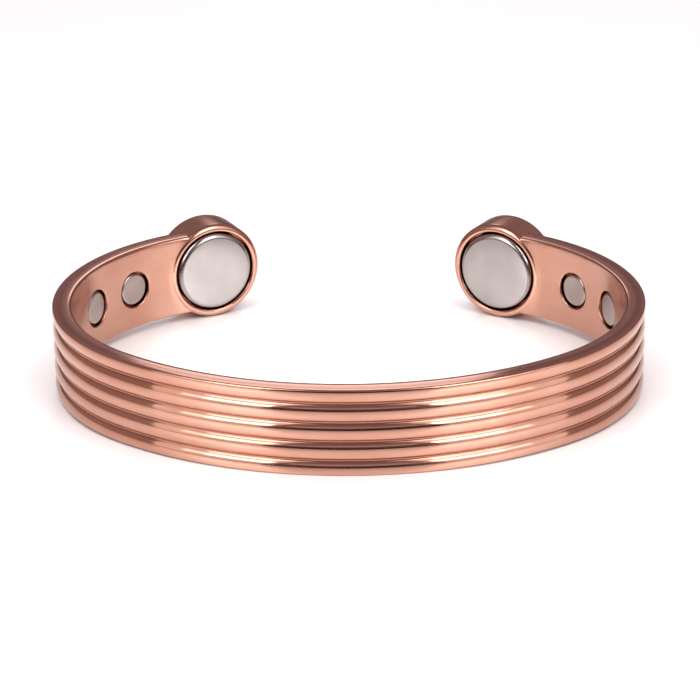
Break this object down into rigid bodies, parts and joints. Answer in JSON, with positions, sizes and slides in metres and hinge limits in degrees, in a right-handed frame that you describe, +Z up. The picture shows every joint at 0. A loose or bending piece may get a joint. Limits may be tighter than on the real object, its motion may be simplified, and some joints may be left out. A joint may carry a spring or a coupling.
{
  "type": "magnetic bracelet",
  "caption": "Open polished copper cuff with ribs round the outside, a round cup and disc magnet at each end and small disc magnets let into the inner face.",
  "frame": {"origin": "on the table the cuff lies on, under the middle of its outline", "axes": "+Z up, across the band's height; +Y towards the opening between the cups; +X to the right seen from the front, with the opening behind"},
  "size_m": [0.0686, 0.0558, 0.0121],
  "materials": {
    "copper": "polished rose copper",
    "nickel": "nickel plated, satin"
  },
  "bodies": {
    "root": {"cuff": "copper", "end_magnet_left": "nickel", "end_magnet_right": "nickel", "near_magnet_left": "nickel", "near_magnet_right": "nickel", "far_magnet_left": "nickel", "far_magnet_right": "nickel"}
  },
  "joints": []
}
